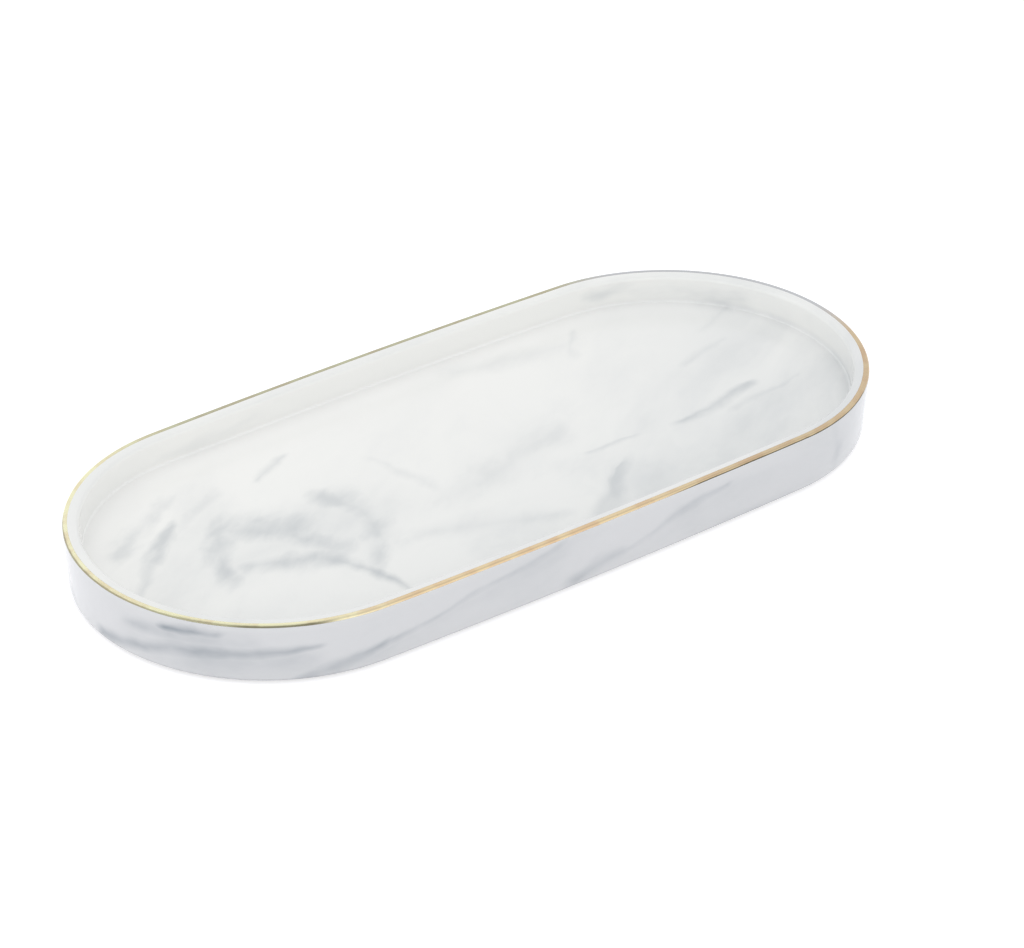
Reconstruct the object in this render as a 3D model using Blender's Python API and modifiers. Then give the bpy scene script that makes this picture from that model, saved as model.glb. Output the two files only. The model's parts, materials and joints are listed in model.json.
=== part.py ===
"""Vanity tray: a long oval dish of glazed ceramic with a gilded rim, on four pads.

Every cross-section of the dish is the same, so the body and the gilding are each
one section, spun in turn round the four arc centres of the oval.
Metres, +Z up, +X along the tray. The origin is centred under the tray, where the
pads stand.
"""

import math

import bmesh
import bpy
from mathutils import Matrix, Vector

# Outline of the rim, seen from above: two round ends and two slightly bowed sides
TRAY_LENGTH = 0.250
TRAY_WIDTH = 0.1133
SIDE_ARC_RADIUS = 2.2

# Heights of the ceramic body
BODY_HEIGHT = 0.0178
RECESS_DEPTH = 0.0036
FLOOR_THICKNESS = 0.0058

# Lip: level at the rim, then falling a little inwards
RIM_ROUND = 0.00075
LIP_TOP_WIDTH = 0.0024
LIP_INNER_FALL = 0.00035
LIP_INNER_REACH = 0.00195
LIP_INNER_ROUND = 0.0030
LIP_CORNER_ROUND = 0.0013

# Inside wall
INNER_WALL_DRAFT = 0.00055
FLOOR_FILLET = 0.0009

# Outside wall, upright below the gilding, then leaning in towards the foot
LIP_BAND = 0.0008
WALL_BEND_ROUND = 0.0080
OUTER_WALL_DRAFT = 0.00115
BASE_ROUND = 0.0012

# Standing ring and the recess inside it
FOOT_RING_WIDTH = 0.0060
FOOT_EDGE_ROUND = 0.0006
RECESS_DRAFT = 0.0007
RECESS_FILLET = 0.0010

# Gilding, laid in a shallow rebate over the rim
GILDING_THICKNESS = 0.0004
GILDING_TOP_REACH = 0.00175
GILDING_SIDE_REACH = 0.0008

# Soft pads, bonded to the roof of the recess
PAD_DIAMETER = 0.0100
PAD_TIP_DIAMETER = 0.0086
PAD_EDGE_ROUND = 0.0007
PAD_STAND = 0.0008
PAD_INSET = 0.0200
PAD_ANGLE = math.radians(74)

# Clearance between pieces that touch
SEAT_GAP = 0.0003
MERGE_DISTANCE = 0.000005

# Fineness of the facets
END_ARC_STEPS = 32
SIDE_ARC_STEPS = 4
PAD_STEPS = 24
SECTION_ARC_STEP = math.radians(18)
SHARP_ANGLE = math.radians(35)

# Colours, roughness and metallic of each finish
CERAMIC = ("glazed_ceramic", (0.80, 0.80, 0.81, 1.0), 0.12, 0.0)
GOLD = ("bright_gold", (0.82, 0.68, 0.43, 1.0), 0.22, 1.0)
SILICONE = ("clear_silicone", (0.62, 0.63, 0.63, 1.0), 0.55, 0.0)

# The four arcs that make the oval, worked out from its length, width and side arcs
half_length = TRAY_LENGTH / 2
half_width = TRAY_WIDTH / 2
end_radius = (
    (2 * SIDE_ARC_RADIUS * half_width - half_length**2 - half_width**2)
    / (2 * (SIDE_ARC_RADIUS - half_length))
)
end_centre_x = half_length - end_radius
side_centre_y = SIDE_ARC_RADIUS - half_width
join_angle = math.atan2(side_centre_y, end_centre_x)

# Levels, from the surface that the tray stands on
foot_z = PAD_STAND
roof_z = foot_z + RECESS_DEPTH
floor_z = roof_z + FLOOR_THICKNESS
rim_z = foot_z + BODY_HEIGHT


def clear_scene():
    """Removes whatever the scene holds."""
    for thing in list(bpy.data.objects):
        bpy.data.objects.remove(thing)


def make_collection(name):
    """Gives the scene a collection of that name."""
    collection = bpy.data.collections.new(name)
    bpy.context.scene.collection.children.link(collection)
    return collection


def make_material(finish):
    """Makes a Principled material from a name, a colour, a roughness and a metallic value."""
    name, colour, roughness, metallic = finish
    material = bpy.data.materials.new(name)
    material.use_nodes = True
    shader = material.node_tree.nodes["Principled BSDF"]
    shader.inputs["Base Color"].default_value = colour
    shader.inputs["Roughness"].default_value = roughness
    shader.inputs["Metallic"].default_value = metallic
    material.diffuse_color = colour
    return material


def add_object(name, mesh, material, collection, parent):
    """Puts a mesh in the collection as a smooth shaded object of its own material."""
    piece = bpy.data.objects.new(name, mesh)
    piece.parent = parent
    collection.objects.link(piece)
    mesh.materials.append(material)
    mesh.shade_smooth()
    mesh.set_sharp_from_angle(angle=SHARP_ANGLE)
    return piece


def rounded(corners):
    """Turns corners, each (across, height, radius), into points with an arc at each round corner."""
    points = []
    for index, (across, height, radius) in enumerate(corners):
        corner = Vector((across, height))
        if radius == 0:
            points.append(corner)
            continue
        to_last = (Vector(corners[index - 1][:2]) - corner).normalized()
        to_next = (Vector(corners[(index + 1) % len(corners)][:2]) - corner).normalized()
        half_angle = to_last.angle(to_next) / 2
        centre = corner + (to_last + to_next).normalized() * radius / math.sin(half_angle)
        arm = corner + to_last * radius / math.tan(half_angle) - centre
        turn = math.pi - 2 * half_angle
        if to_last.x * to_next.y - to_last.y * to_next.x > 0:
            turn = -turn
        steps = math.ceil(abs(turn) / SECTION_ARC_STEP)
        for step in range(steps + 1):
            points.append(centre + Matrix.Rotation(turn * step / steps, 2) @ arm)
    return points


def spin_round_oval(name, section, closed):
    """Spins a section round the tray. Each point of the section is (inset from the rim's outline, height)."""
    bm = bmesh.new()
    outward = Vector((math.cos(join_angle), -math.sin(join_angle), 0))
    end_centre = Vector((end_centre_x, 0, 0))
    points = []
    for inset, height in section:
        points.append(bm.verts.new(end_centre + outward * (end_radius - inset) + Vector((0, 0, height))))
    edges = [bm.edges.new(pair) for pair in zip(points, points[1:])]
    if closed:
        edges.append(bm.edges.new((points[-1], points[0])))

    end_turn = 2 * join_angle
    side_turn = math.pi - end_turn
    arcs = [
        ((end_centre_x, 0, 0), end_turn, END_ARC_STEPS),
        ((0, -side_centre_y, 0), side_turn, SIDE_ARC_STEPS),
        ((-end_centre_x, 0, 0), end_turn, END_ARC_STEPS),
        ((0, side_centre_y, 0), side_turn, SIDE_ARC_STEPS),
    ]
    moving_edge = points + edges
    for centre, turn, steps in arcs:
        spun = bmesh.ops.spin(
            bm, geom=moving_edge, cent=centre, axis=(0, 0, 1), angle=turn, steps=steps
        )
        moving_edge = spun["geom_last"]

    bmesh.ops.remove_doubles(bm, verts=bm.verts, dist=MERGE_DISTANCE)
    bmesh.ops.holes_fill(bm, edges=[edge for edge in bm.edges if edge.is_boundary])
    bmesh.ops.recalc_face_normals(bm, faces=bm.faces)
    mesh = bpy.data.meshes.new(name)
    bm.to_mesh(mesh)
    bm.free()
    return mesh


def body_section():
    """Runs from the floor up the inside wall, over the lip, down the outside and under the foot."""
    rebate_depth = GILDING_THICKNESS + SEAT_GAP
    rebate_top = GILDING_TOP_REACH + SEAT_GAP
    rebate_side = rim_z - GILDING_SIDE_REACH - SEAT_GAP
    lip_inner = LIP_TOP_WIDTH + LIP_INNER_REACH
    inner_foot = lip_inner + INNER_WALL_DRAFT
    recess_edge = OUTER_WALL_DRAFT + FOOT_RING_WIDTH
    recess_roof = recess_edge + RECESS_DRAFT
    return rounded([
        (inner_foot + 2 * FLOOR_FILLET, floor_z, 0),
        (inner_foot, floor_z, FLOOR_FILLET),
        (lip_inner, rim_z - LIP_INNER_FALL, LIP_CORNER_ROUND),
        (LIP_TOP_WIDTH, rim_z, LIP_INNER_ROUND),
        (rebate_top, rim_z, 0),
        (rebate_top, rim_z - rebate_depth, 0),
        (rebate_depth, rim_z - rebate_depth, 0),
        (rebate_depth, rebate_side, 0),
        (0, rebate_side, 0),
        (0, rebate_side - LIP_BAND, WALL_BEND_ROUND),
        (OUTER_WALL_DRAFT, foot_z, BASE_ROUND),
        (recess_edge, foot_z, FOOT_EDGE_ROUND),
        (recess_roof, roof_z, RECESS_FILLET),
        (recess_roof + 2 * RECESS_FILLET, roof_z, 0),
    ])


def gilding_section():
    """Follows the rim's rounding outside, and the rebate inside at an even gap."""
    return rounded([
        (0, rim_z - GILDING_SIDE_REACH, 0),
        (0, rim_z, RIM_ROUND),
        (GILDING_TOP_REACH, rim_z, 0),
        (GILDING_TOP_REACH, rim_z - GILDING_THICKNESS, 0),
        (GILDING_THICKNESS, rim_z - GILDING_THICKNESS, RIM_ROUND - GILDING_THICKNESS),
        (GILDING_THICKNESS, rim_z - GILDING_SIDE_REACH, 0),
    ])


def pad_mesh():
    """The profile of one pad, from the middle of its bonded face out and down to the middle of its tip."""
    bonded_z = roof_z - SEAT_GAP
    profile = rounded([
        (0, bonded_z, 0),
        (PAD_DIAMETER / 2, bonded_z, 0),
        (PAD_TIP_DIAMETER / 2, 0, PAD_EDGE_ROUND),
        (0, 0, 0),
    ])
    mesh = bpy.data.meshes.new("foot_pad")
    points = [(across, 0, height) for across, height in profile]
    mesh.from_pydata(points, [(k, k + 1) for k in range(len(points) - 1)], [])
    return mesh


def add_pads(material, collection, parent):
    """Four pads, one towards each end of each long side."""
    across_end = end_radius - PAD_INSET
    pad_x = end_centre_x + across_end * math.cos(PAD_ANGLE)
    pad_y = across_end * math.sin(PAD_ANGLE)
    for side, side_sign in (("front", -1), ("back", 1)):
        for end, end_sign in (("left", -1), ("right", 1)):
            pad = add_object(f"foot_pad_{side}_{end}", pad_mesh(), material, collection, parent)
            pad.location = (end_sign * pad_x, side_sign * pad_y, 0)
            turned = pad.modifiers.new("turned", "SCREW")
            turned.steps = PAD_STEPS
            turned.render_steps = PAD_STEPS
            turned.use_merge_vertices = True
            turned.merge_threshold = MERGE_DISTANCE


def main():
    clear_scene()
    collection = make_collection("vanity_tray")
    centre = bpy.data.objects.new("tray_centre", None)
    collection.objects.link(centre)

    body = spin_round_oval("tray_body", body_section(), closed=False)
    add_object("tray_body", body, make_material(CERAMIC), collection, centre)

    gilding = spin_round_oval("gilded_rim", gilding_section(), closed=True)
    add_object("gilded_rim", gilding, make_material(GOLD), collection, centre)

    add_pads(make_material(SILICONE), collection, centre)


main()
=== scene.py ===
"""Vanity tray: a long oval dish of marbled, glazed ceramic with a gilded rim, on four soft pads.

The packed solids give the size and the place of every piece. This script makes the fine surface
over them: the glazed dish, the line of gold laid over its rim, the moulded pads and the clear
adhesive that holds them. Metres, +Z up, +X along the tray.
"""

import json
import math
from collections import namedtuple
from functools import partial, reduce

import bmesh
import bpy
from bpy.props import FloatProperty, FloatVectorProperty, PointerProperty
from bpy.types import NodeSocket, Operator, Panel, PropertyGroup
from mathutils import Matrix, Vector, noise


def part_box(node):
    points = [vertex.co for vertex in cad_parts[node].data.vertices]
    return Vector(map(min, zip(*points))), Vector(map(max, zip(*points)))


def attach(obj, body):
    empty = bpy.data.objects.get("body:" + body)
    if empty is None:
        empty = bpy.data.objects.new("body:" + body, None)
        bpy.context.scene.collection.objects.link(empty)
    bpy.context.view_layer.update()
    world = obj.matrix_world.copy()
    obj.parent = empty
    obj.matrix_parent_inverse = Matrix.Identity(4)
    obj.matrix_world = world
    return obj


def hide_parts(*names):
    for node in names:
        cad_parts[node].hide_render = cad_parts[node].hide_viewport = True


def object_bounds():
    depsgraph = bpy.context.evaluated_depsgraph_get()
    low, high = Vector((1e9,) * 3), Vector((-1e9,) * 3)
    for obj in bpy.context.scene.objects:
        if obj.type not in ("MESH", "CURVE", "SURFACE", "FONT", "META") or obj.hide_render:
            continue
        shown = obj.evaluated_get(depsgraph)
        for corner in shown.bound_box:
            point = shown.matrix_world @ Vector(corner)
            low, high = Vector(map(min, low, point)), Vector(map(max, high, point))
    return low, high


bl_info = {
    "name": "Vanity tray",
    "version": (1, 0, 0),
    "blender": (4, 5, 0),
    "location": "3D View > Sidebar > Vanity tray",
    "description": "Builds a marbled, glazed ceramic tray with a gilded rim, on four soft pads",
    "category": "Object",
}

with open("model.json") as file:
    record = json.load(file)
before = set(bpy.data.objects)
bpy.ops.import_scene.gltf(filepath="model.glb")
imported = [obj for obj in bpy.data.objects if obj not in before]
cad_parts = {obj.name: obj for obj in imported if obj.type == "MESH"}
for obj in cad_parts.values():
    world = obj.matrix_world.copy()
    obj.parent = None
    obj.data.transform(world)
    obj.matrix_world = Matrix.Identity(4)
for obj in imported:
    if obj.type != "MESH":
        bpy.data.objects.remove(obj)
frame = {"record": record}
cad_low, cad_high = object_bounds()
dish_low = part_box("tray_body")[0]
pad_low, pad_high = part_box("foot_pad_front_left")
mount_height = {mount["name"]: mount["pos_m"][2] for mount in frame["record"]["mounts"]}

MM = 0.001

# How finely the surfaces are divided
END_STEPS = 120
SIDE_STEPS = 96
PAD_STEPS = 72
GOLD_STEPS = 16
SECTION_ARC_STEP = math.radians(9)
FLAT_RING_STEP = 2.4 * MM

PAD_PLACES = ("front_left", "front_right", "back_left", "back_right")


def length(name, default, description):
    """A length that a user may change."""
    return FloatProperty(
        name=name, description=description, default=default, min=0, unit="LENGTH", precision=5
    )


def share(name, default, description):
    """A value between 0 and 1."""
    return FloatProperty(
        name=name, description=description, default=default, min=0, max=1, subtype="FACTOR"
    )


def colour(name, default, description):
    """A colour, in linear light."""
    return FloatVectorProperty(
        name=name, description=description, default=default, min=0, max=1, size=3, subtype="COLOR"
    )


class TrayShape(PropertyGroup):
    """Sizes of the ceramic dish."""

    length: length("Length", cad_high.x - cad_low.x, "Length of the rim")
    width: length("Width", cad_high.y - cad_low.y, "Width of the rim")
    side_radius: length("Side radius", 2.2, "Radius of the slightly bowed sides")
    rim_height: length("Rim height", cad_high.z, "Height of the rim")
    foot_height: length("Foot height", dish_low.z, "Height of the standing ring")
    floor_height: length("Floor height", mount_height["dish_floor"], "Height of the inside floor")
    roof_height: length("Recess height", 4.4 * MM, "Height of the underside within the standing ring")
    rim_round: length("Rim round", 0.75 * MM, "Radius of the rim's outer edge")
    lip_width: length("Lip width", 2.4 * MM, "Width of the lip's level top")
    lip_reach: length("Lip slope reach", 1.95 * MM, "How far the lip slopes inwards")
    lip_fall: length("Lip slope fall", 0.35 * MM, "How far the lip slopes down")
    lip_inner_round: length("Lip inner round", 3.0 * MM, "Radius between the lip's top and its slope")
    lip_corner_round: length("Lip corner round", 1.3 * MM, "Radius between the lip's slope and the wall")
    inner_draft: length("Inner wall draft", 0.55 * MM, "How far the inside wall leans in towards the floor")
    floor_fillet: length("Floor fillet", 0.6 * MM, "Radius where the inside wall meets the floor")
    lip_band: length("Lip band", 1.9 * MM, "Height of the upright band below the rim")
    wall_bend_round: length("Wall bend round", 8.0 * MM, "Radius where the outside wall starts to lean in")
    outer_draft: length("Outer wall draft", 1.15 * MM, "How far the outside wall leans in towards the foot")
    base_round: length("Base round", 1.2 * MM, "Radius where the outside wall meets the standing ring")
    ring_width: length("Ring width", 6.0 * MM, "Width of the standing ring")
    ring_round: length("Ring round", 0.6 * MM, "Radius of the standing ring's inner edge")
    recess_draft: length("Recess draft", 0.7 * MM, "How far the recess narrows towards its roof")
    recess_fillet: length("Recess fillet", 1.0 * MM, "Radius where the recess meets its roof")
    ripple: length("Ripple", 0.035 * MM, "How far the fired surface wanders from a true one")


class GlazeLook(PropertyGroup):
    """Colours of the marbled glaze."""

    white: colour("White", (0.872, 0.875, 0.855), "The glaze between the veins, inside the dish")
    # The white outside is a painted shaded copy of the same glaze, darker and cooler
    shaded_white_outside: colour("White outside", (0.836, 0.839, 0.847), "The cooler glaze outside")
    # The pooled white is pooled glaze together with painted light that lifts the shade at the foot of the
    # inside wall
    pool: colour("Pooled white", (0.95, 0.95, 0.94), "The thick white glaze where the floor meets the wall")
    mist: colour("Mist", (0.66, 0.68, 0.69), "The pale grey that drifts through the white")
    vein: colour("Vein", (0.33, 0.37, 0.41), "The darkest part of a vein")
    bisque: colour("Bisque", (0.70, 0.66, 0.60), "The bare fired clay of the standing ring")
    marbling: share("Marbling", 1.0, "How strongly the veins show")
    roughness: share("Roughness", 0.10, "Roughness of the clean glaze")


class GildingLook(PropertyGroup):
    """Size and colour of the line of gold."""

    top_reach: length("Top reach", 1.75 * MM, "How far the gold reaches in over the lip")
    side_reach: length("Side reach", 0.65 * MM, "How far the gold reaches down the outside")
    left_narrowing: length("Left narrowing", 0.35 * MM, "How much less the gold reaches in at the left end")
    waver: length("Waver", 0.07 * MM, "How far its hand-drawn edges wander")
    thickness: length("Thickness", 0.05 * MM, "How far the gold stands proud of the glaze")
    taper: length("Taper", 0.12 * MM, "Width over which its edges thin out")
    gold: colour("Gold", (0.76, 0.615, 0.39), "The warm gold in front")
    # The next four tones are painted into the gold: a painted highlight at the left end, and painted shade
    # at the right end, along the back and at the back of the right end
    highlight_gold: colour("Lemon gold", (0.86, 0.84, 0.57), "The paler gold at the left end")
    tan: colour("Tan gold", (0.62, 0.50, 0.325), "The duller gold at the right end")
    thin: colour("Thin gold", (0.50, 0.50, 0.35), "The thin, greenish gold along the back")
    grey_shade: colour("Worn gold", (0.52, 0.53, 0.55), "The gold worn to grey at the back of the right end")
    patches: colour("Rosy patches", (0.92, 0.84, 0.84), "What the brushed patches multiply the gold by")
    # Painted shade: a dark line painted along the gold's lower edge
    shade_line: colour("Burnt edge", (0.11, 0.10, 0.06), "The dark line along the lower edge")
    roughness: share("Roughness", 0.17, "Roughness of the bright gold")


class PadLook(PropertyGroup):
    """Sizes and colours of the soft pads."""

    top_diameter: length("Top diameter", pad_high.x - pad_low.x, "Diameter at the bonded face")
    tip_diameter: length("Tip diameter", 8.6 * MM, "Diameter at the tip")
    tip_round: length("Tip round", 0.7 * MM, "Radius of the tip's edge")
    dimple_diameter: length("Dimple diameter", 2.4 * MM, "Diameter of the moulded dimple in the tip")
    dimple_depth: length("Dimple depth", 0.15 * MM, "Depth of that dimple")
    collar_height: length("Collar height", 0.6 * MM, "Height of the upright collar at the bonded face")
    adhesive_diameter: length("Adhesive diameter", 9.4 * MM, "Diameter of the clear adhesive disc")
    silicone: colour("Silicone", (0.60, 0.61, 0.61), "The clear, slightly milky silicone")
    adhesive: colour("Adhesive", (0.72, 0.71, 0.66), "The clear adhesive")


class StageLook(PropertyGroup):
    """Camera, floor and light."""

    azimuth: FloatProperty(
        name="Azimuth", description="Camera's bearing", default=math.radians(-37.215), subtype="ANGLE"
    )
    elevation: FloatProperty(
        name="Elevation", description="Camera's height angle", default=math.radians(30.624), subtype="ANGLE"
    )
    distance: length("Distance", 1.15, "From the camera to what it looks at")
    aim: FloatVectorProperty(
        name="Aim",
        description="The point that the camera looks at",
        default=(3.358 * MM, 8.335 * MM, 0.8 * MM),
        size=3,
        subtype="TRANSLATION",
    )
    lens: FloatProperty(name="Lens", description="Focal length in millimetres", default=144.91, min=1)
    shift: FloatProperty(name="Shift", description="Sideways shift of the frame", default=0.041)
    floor: colour("Floor", (0.56, 0.565, 0.60), "The pale floor")
    floor_glow: share("Floor glow", 0.65, "How much of the floor's white is seen even in the shade")


PAIRS = (
    ("vanity_tray_shape", TrayShape),
    ("vanity_tray_glaze", GlazeLook),
    ("vanity_tray_gilding", GildingLook),
    ("vanity_tray_pads", PadLook),
    ("vanity_tray_stage", StageLook),
)


# Mesh tools

Station = namedtuple("Station", "centre outward radius")


class Oval:
    """The rim seen from above: two round ends and two slightly bowed sides that meet smoothly."""

    def __init__(self, shape):
        half_length = shape.length / 2
        self.half_width = shape.width / 2
        self.side_radius = shape.side_radius
        self.end_radius = (
            (2 * self.side_radius * self.half_width - half_length**2 - self.half_width**2)
            / (2 * (self.side_radius - half_length))
        )
        self.end_centre = half_length - self.end_radius
        self.side_centre = self.side_radius - self.half_width
        self.join = math.atan2(self.side_centre, self.end_centre)

    def stations(self):
        """Goes once round the outline, each station with its arc's centre and radius."""
        end_turn = 2 * self.join
        side_turn = math.pi - end_turn
        arcs = (
            (Vector((self.end_centre, 0)), self.end_radius, -self.join, end_turn, END_STEPS),
            (Vector((0, -self.side_centre)), self.side_radius, self.join, side_turn, SIDE_STEPS),
            (Vector((-self.end_centre, 0)), self.end_radius, math.pi - self.join, end_turn, END_STEPS),
            (Vector((0, self.side_centre)), self.side_radius, math.pi + self.join, side_turn, SIDE_STEPS),
        )
        for centre, radius, start, turn, steps in arcs:
            for step in range(steps):
                angle = start + turn * step / steps
                yield Station(centre, Vector((math.cos(angle), math.sin(angle))), radius)

    def place(self, station, inset, height):
        """A point at that inset from the outline, at a station."""
        flat = station.centre + station.outward * (station.radius - inset)
        return Vector((flat.x, flat.y, height))

    def wall_place(self, x, height, inset, side):
        """A point of the wall above x, on the front (side -1) or on the back (side 1)."""
        beyond = abs(x) - self.end_centre
        radius = self.end_radius - inset
        if beyond > 0:
            y = math.sqrt(max(radius**2 - beyond**2, 0))
        else:
            y = math.sqrt((self.side_radius - inset) ** 2 - x**2) - self.side_centre
        return Vector((x, side * y, height))


def rounded(corners):
    """Turns corners, each (across, height, radius), into points with an arc at each round corner."""
    points = []
    for index, (across, height, radius) in enumerate(corners):
        corner = Vector((across, height))
        if radius <= 0:
            points.append(corner)
            continue
        to_last = (Vector(corners[index - 1][:2]) - corner).normalized()
        to_next = (Vector(corners[(index + 1) % len(corners)][:2]) - corner).normalized()
        half_angle = to_last.angle(to_next) / 2
        centre = corner + (to_last + to_next).normalized() * radius / math.sin(half_angle)
        arm = corner + to_last * radius / math.tan(half_angle) - centre
        turn = math.pi - 2 * half_angle
        if to_last.x * to_next.y - to_last.y * to_next.x > 0:
            turn = -turn
        steps = math.ceil(abs(turn) / SECTION_ARC_STEP)
        for step in range(steps + 1):
            points.append(centre + Matrix.Rotation(turn * step / steps, 2) @ arm)
    return points


def flat_rings(first_inset, last_inset, height):
    """Points spaced evenly along a level stretch of the section."""
    steps = math.ceil(abs(last_inset - first_inset) / FLAT_RING_STEP)
    reach = last_inset - first_inset
    return [Vector((first_inset + reach * step / steps, height)) for step in range(steps)]


def finish_mesh(bm, name):
    """Turns what was modelled into a mesh."""
    mesh = bpy.data.meshes.new(name)
    bm.to_mesh(mesh)
    bm.free()
    return mesh


def skin_over(bm, name, rings, closed):
    """Joins rings of points, each to the next and the last to the first, into one skin."""
    count = len(rings[0])
    rungs = [(k, k + 1) for k in range(count - 1)]
    if closed:
        rungs.append((count - 1, 0))
    for ring, following in zip(rings, rings[1:] + rings[:1]):
        for lower, upper in rungs:
            # Where both rings start or end in the same point, this leaves a triangle
            corners = dict.fromkeys((ring[lower], following[lower], following[upper], ring[upper]))
            bm.faces.new(tuple(corners))
    bmesh.ops.holes_fill(bm, edges=[edge for edge in bm.edges if edge.is_boundary])
    bmesh.ops.recalc_face_normals(bm, faces=bm.faces)
    return finish_mesh(bm, name)


def sweep_round(name, oval, section_at, closed):
    """Joins the sections at every station round the oval."""
    bm = bmesh.new()
    rings = []
    for station in oval.stations():
        section = section_at(station)
        rings.append([bm.verts.new(oval.place(station, inset, height)) for inset, height in section])
    return skin_over(bm, name, rings, closed)


def turned(name, profile, centre):
    """Turns a profile, from its axis out and round to its axis, about an upright axis."""
    bm = bmesh.new()
    first, *around, last = profile
    top = bm.verts.new((centre.x, centre.y, first.y))
    bottom = bm.verts.new((centre.x, centre.y, last.y))
    rings = []
    for step in range(PAD_STEPS):
        angle = 2 * math.pi * step / PAD_STEPS
        ring = [
            bm.verts.new((centre.x + across * math.cos(angle), centre.y + across * math.sin(angle), height))
            for across, height in around
        ]
        rings.append([top, *ring, bottom])
    return skin_over(bm, name, rings, closed=False)


def add_object(name, data):
    """Puts a mesh, a lamp or a camera in the scene."""
    thing = bpy.data.objects.new(name, data)
    bpy.context.scene.collection.objects.link(thing)
    return thing


def add_piece(name, mesh, materials, slot, *nodes):
    """Puts a piece in the scene, riding on the tray, in place of the solids that it dresses."""
    for material in materials:
        mesh.materials.append(material)
    mesh.shade_smooth()
    piece = add_object(name, mesh)
    shading = piece.modifiers.new("even shading", "WEIGHTED_NORMAL")
    shading.weight = 100
    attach(piece, "root")
    if nodes:
        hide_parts(*nodes)


# Shader tools


def plug(node, inputs):
    """Feeds a node's inputs, each linked from a socket or set to a value."""
    for name, value in inputs.items():
        if isinstance(value, NodeSocket):
            node.id_data.links.new(value, node.inputs[name])
        else:
            node.inputs[name].default_value = value


def add_node(kind, inputs, tree=None, **settings):
    """Adds a shader node, by default to the tree that its inputs come from, and gives its outputs."""
    tree = tree or next(value.id_data for value in inputs.values() if isinstance(value, NodeSocket))
    node = tree.nodes.new(kind)
    for name, value in settings.items():
        setattr(node, name, value)
    plug(node, inputs)
    return node.outputs


def maths(operation, *values, clamp=False):
    """Adds a Math node."""
    inputs = dict(enumerate(values))
    return add_node("ShaderNodeMath", inputs, operation=operation, use_clamp=clamp)[0]


def combine(operation, values):
    """Joins any number of values with Math nodes, two at a time."""
    return reduce(partial(maths, operation), values)


def times(*values):
    """Multiplies values."""
    return combine("MULTIPLY", values)


def scaled(value, factor, base):
    """Multiplies a value and adds another."""
    return maths("MULTIPLY_ADD", value, factor, base)


def vector_maths(operation, *values):
    """Adds a Vector Math node."""
    return add_node("ShaderNodeVectorMath", dict(enumerate(values)), operation=operation)


def remap(value, low, high, to_low=0.0, to_high=1.0, curve="SMOOTHSTEP"):
    """Adds a Map Range node."""
    inputs = {"Value": value, "From Min": low, "From Max": high, "To Min": to_low, "To Max": to_high}
    return add_node("ShaderNodeMapRange", inputs, interpolation_type=curve)["Result"]


def past(value, limit):
    """How far a value lies past a limit, on either side of nought."""
    over = maths("SUBTRACT", maths("ABSOLUTE", value), limit)
    return maths("MAXIMUM", over, 0.0)


def mix_colour(factor, first, second, blend="MIX"):
    """Mixes two colours, which a Mix node takes at its sockets 6 and 7."""
    inputs = {0: factor, 6: first, 7: second}
    return add_node("ShaderNodeMix", inputs, data_type="RGBA", blend_type=blend)[2]


def noise_field(vector, **inputs):
    """Adds a Noise Texture node."""
    return add_node("ShaderNodeTexNoise", {"Vector": vector, **inputs})


def placed_frame(vector, **inputs):
    """Coordinates in a frame of its own place, turn and stretch."""
    inputs["Vector"] = vector
    return add_node("ShaderNodeMapping", inputs, vector_type="TEXTURE")["Vector"]


def split(vector):
    """The X, Y and Z of a vector."""
    return add_node("ShaderNodeSeparateXYZ", {"Vector": vector})


def relief(height, strength, distance):
    """The normals of a surface with that height."""
    inputs = {"Height": height, "Strength": strength, "Distance": distance}
    return add_node("ShaderNodeBump", inputs)["Normal"]


def solid(rgb, brightness=1.0):
    """A colour property as the four values that a socket takes, made darker or paler if need be."""
    return (*[min(value * brightness, 1.0) for value in rgb], 1.0)


def new_group(name, vectors, numbers, outputs):
    """Starts a node group with named sockets: vectors, numbers with their defaults, and outputs."""
    tree = bpy.data.node_groups.new(name, "ShaderNodeTree")
    for label in vectors:
        tree.interface.new_socket(label, in_out="INPUT", socket_type="NodeSocketVector")
    for label, default in numbers.items():
        socket = tree.interface.new_socket(label, in_out="INPUT", socket_type="NodeSocketFloat")
        socket.default_value = default
    for label in outputs:
        tree.interface.new_socket(label, in_out="OUTPUT", socket_type="NodeSocketFloat")
    start = tree.nodes.new("NodeGroupInput").outputs
    return start, tree.nodes.new("NodeGroupOutput")


# How much more a stroke's sharp side is drawn in, and how far it fades past its ends, in its widths
SHARP_SQUEEZE = 3.0
END_FADE = 1.8


def build_stroke_group():
    """How far a point lies from one straight stroke, counted in the stroke's own widths."""
    sizes = {"Half length": 10 * MM, "Start width": 2 * MM, "End width": 2 * MM, "Depth": 4 * MM}
    numbers = {**sizes, "Sharp side": 0.0}
    start, end = new_group("Glaze stroke", ["Coordinates", "Centre", "Turn"], numbers, ["Away"])
    place = start["Coordinates"]
    parts = split(placed_frame(place, Location=start["Centre"], Rotation=start["Turn"]))
    half_length = start["Half length"]
    minus_half = times(half_length, -1.0)
    widths = start["Start width"], start["End width"]
    width = remap(parts["X"], minus_half, half_length, *widths, curve="LINEAR")
    past_end = past(parts["X"], half_length)
    above = maths("GREATER_THAN", parts["Y"], 0.0)
    sharp = times(above, start["Sharp side"])
    squeeze = scaled(sharp, SHARP_SQUEEZE, 1.0)
    across = times(parts["Y"], squeeze)
    reach = {
        "X": maths("DIVIDE", past_end, times(width, END_FADE)),
        "Y": maths("DIVIDE", across, width),
        "Z": maths("DIVIDE", parts["Z"], start["Depth"]),
    }
    away = vector_maths("LENGTH", add_node("ShaderNodeCombineXYZ", reach)["Vector"])
    plug(end, {"Away": away["Value"]})


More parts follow.
